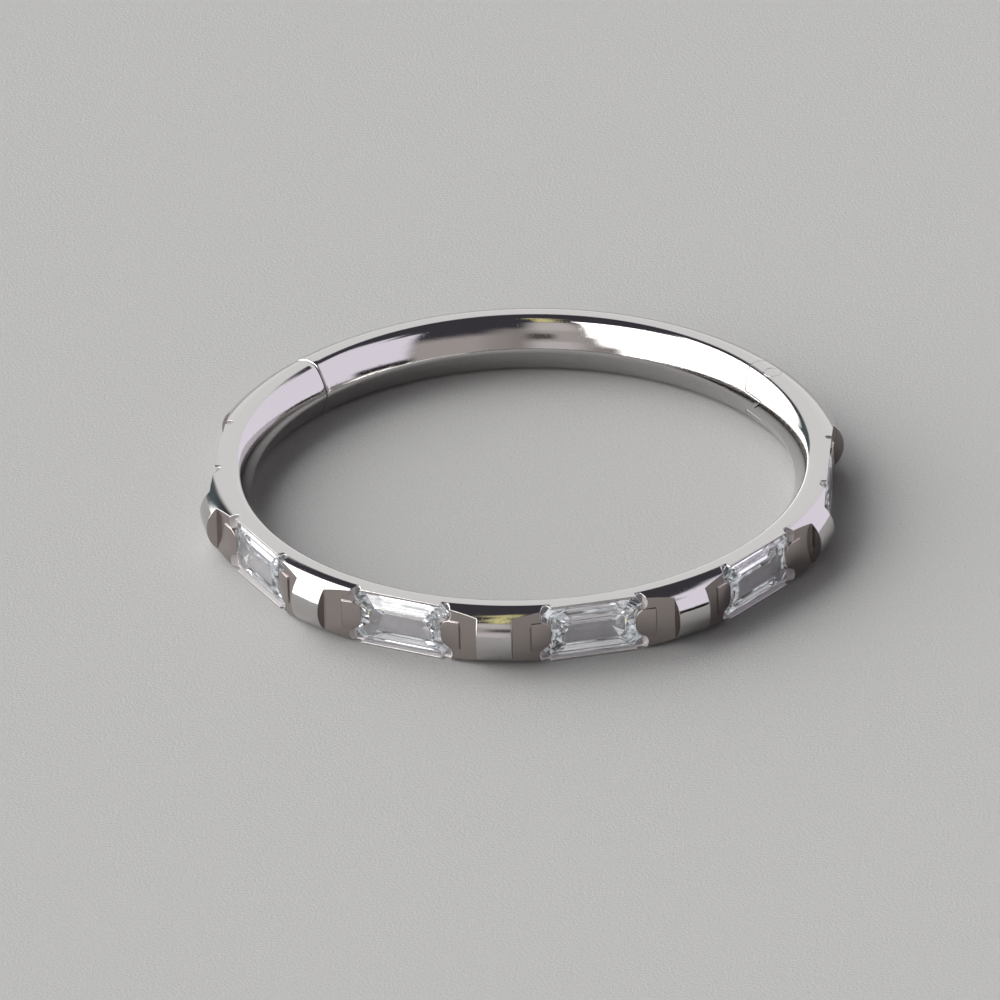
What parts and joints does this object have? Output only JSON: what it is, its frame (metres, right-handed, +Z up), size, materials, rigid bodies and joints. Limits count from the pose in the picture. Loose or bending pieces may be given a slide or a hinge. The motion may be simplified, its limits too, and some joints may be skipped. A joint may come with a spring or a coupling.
{
  "type": "hinged segment ring",
  "caption": "Small polished hinged segment ring of nearly round wire, with clear step-cut baguette stones in flat seats round its front.",
  "frame": {"origin": "on the ring's axis, in the plane of its lower flat, which rests on the ground", "axes": "+Z up along the ring's axis; -Y towards the middle of the stones, so the hinged segment is at +Y; +X towards the hinge's side"},
  "size_m": [0.014, 0.0144, 0.0014],
  "materials": {
    "metal": "polished",
    "stones": "polished"
  },
  "bodies": {
    "ring": {"ring_body": "metal", "hinge_pin": "metal", "stone_1": "stones", "stone_2": "stones", "stone_3": "stones", "stone_4": "stones", "stone_5": "stones", "stone_6": "stones"},
    "segment": {"hinged_segment": "metal"}
  },
  "joints": [
    {"name": "segment_hinge", "type": "hinge", "parent": "ring", "child": "segment", "pos_m": [0.0052, 0.00406, 0.00068], "axis": [0, 0, -1], "range_deg": [0, 60]}
  ]
}
